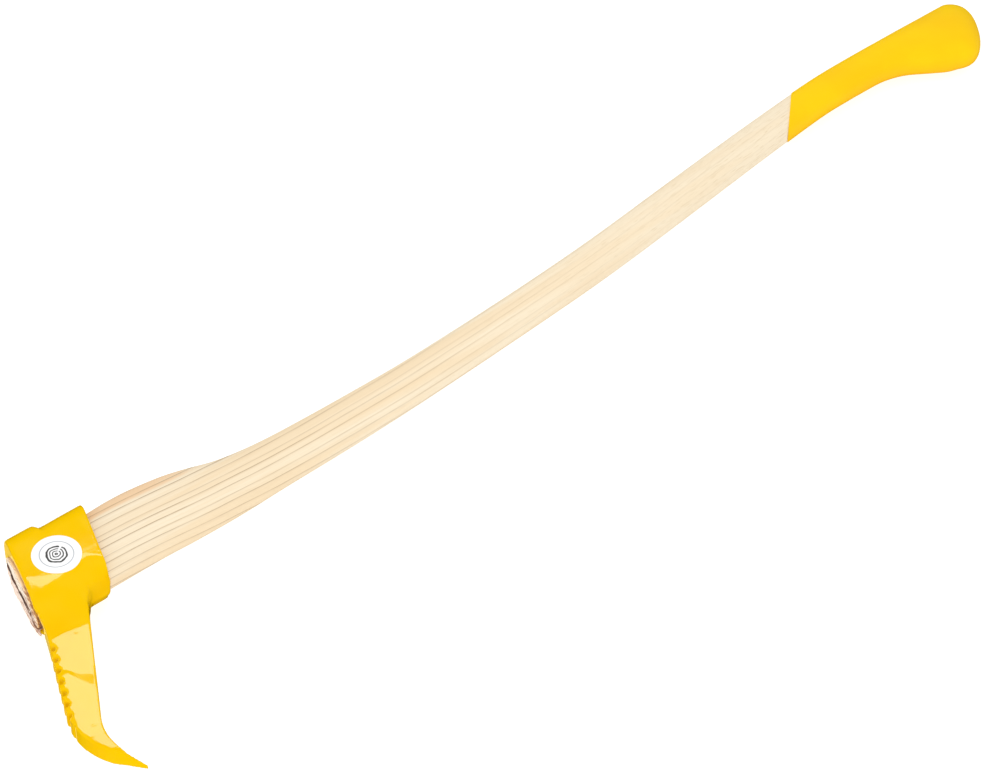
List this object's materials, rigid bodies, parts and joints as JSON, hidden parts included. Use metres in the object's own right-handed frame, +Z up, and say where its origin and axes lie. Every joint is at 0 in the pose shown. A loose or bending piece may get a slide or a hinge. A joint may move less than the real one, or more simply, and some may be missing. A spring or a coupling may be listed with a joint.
{
  "type": "log pick",
  "caption": "Long-handled log pick: a forged head with a notched, hooked pick, wedged on a bowed wooden handle that swells behind the head and ends in a lacquered knob",
  "frame": {"origin": "in the plane of the lower cheek, under the middle of the eye at the head", "axes": "X runs from the eye towards the knob of the handle, the pick points to -Y and the pole to +Y, Z is up out of the upper cheek; the tool lies on its lower cheek at Z = 0"},
  "size_m": [1.0935, 0.265, 0.0452],
  "materials": {
    "head_paint": "glossy baked enamel over forged steel, slightly uneven",
    "handle_wood": "pale ash with straight grain, smooth sanded, thin clear wax",
    "wedge_wood": "dark hardwood, sawn end grain",
    "wedge_steel": "dull, hammered flat and lightly oxidised",
    "grip_lacquer": "dipped lacquer, satin gloss, slightly uneven",
    "label_film": "printed vinyl film, satin"
  },
  "bodies": {
    "root": {"head": "head_paint", "handle": "handle_wood", "eye_wedge": "wedge_wood", "steel_wedge": "wedge_steel", "grip_coat": "grip_lacquer", "label": "label_film"}
  },
  "joints": []
}
